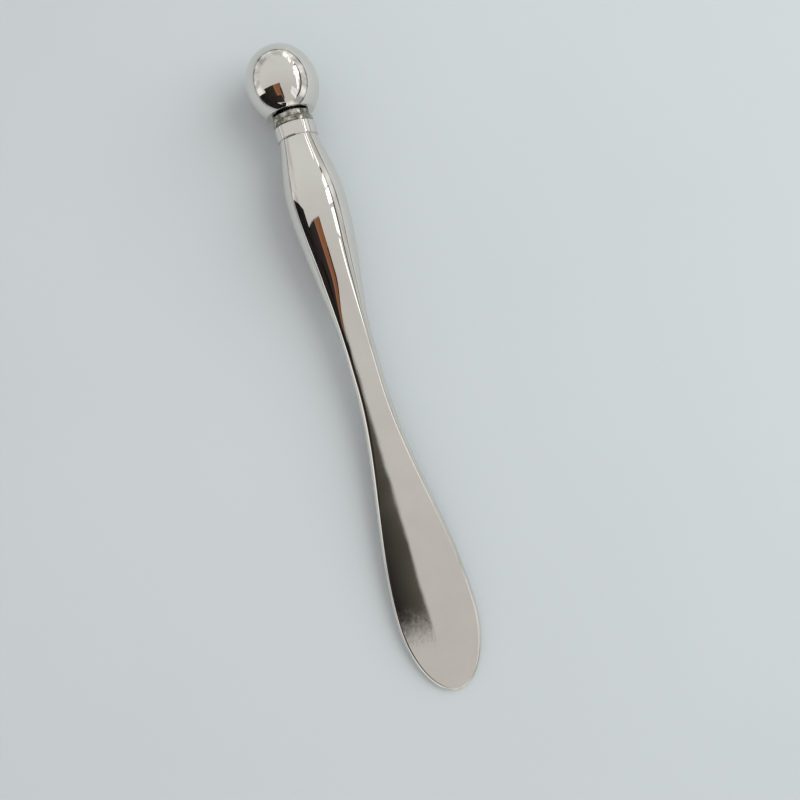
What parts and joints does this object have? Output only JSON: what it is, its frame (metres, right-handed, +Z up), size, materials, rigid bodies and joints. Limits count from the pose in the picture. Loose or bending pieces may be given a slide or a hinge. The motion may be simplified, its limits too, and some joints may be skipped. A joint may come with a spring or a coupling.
{
  "type": "sculpting spatula",
  "caption": "Double-ended plated metal spatula: a flat leaf-shaped blade at one end and an egg-shaped ball that spins on a pin at the other, joined by a round waisted grip.",
  "frame": {"origin": "on the floor under the middle of the tool's length and width, with the tool lying on its ball and the underside of its blade", "axes": "+X along the tool towards the tip of the blade, +Y across the blade, +Z up"},
  "size_m": [0.1054, 0.0132, 0.0113],
  "materials": {
    "plated_casting": "mirror-polished nickel-chrome plate over zinc alloy",
    "plated_ball": "mirror-polished nickel-chrome plate over zinc alloy",
    "plated_washer": "bright plated steel",
    "pin_steel": "ground steel",
    "ring_steel": "spring steel"
  },
  "bodies": {
    "handle": {"spatula_body": "plated_casting", "thrust_washer": "plated_washer", "snap_ring": "ring_steel"},
    "ball": {"massage_ball": "plated_ball", "spindle_pin": "pin_steel"}
  },
  "joints": [
    {"name": "ball_spin", "type": "hinge", "parent": "handle", "child": "ball", "pos_m": [-0.04661, 0, 0.00565], "axis": [0.9991, 0, -0.042], "continuous": true}
  ]
}
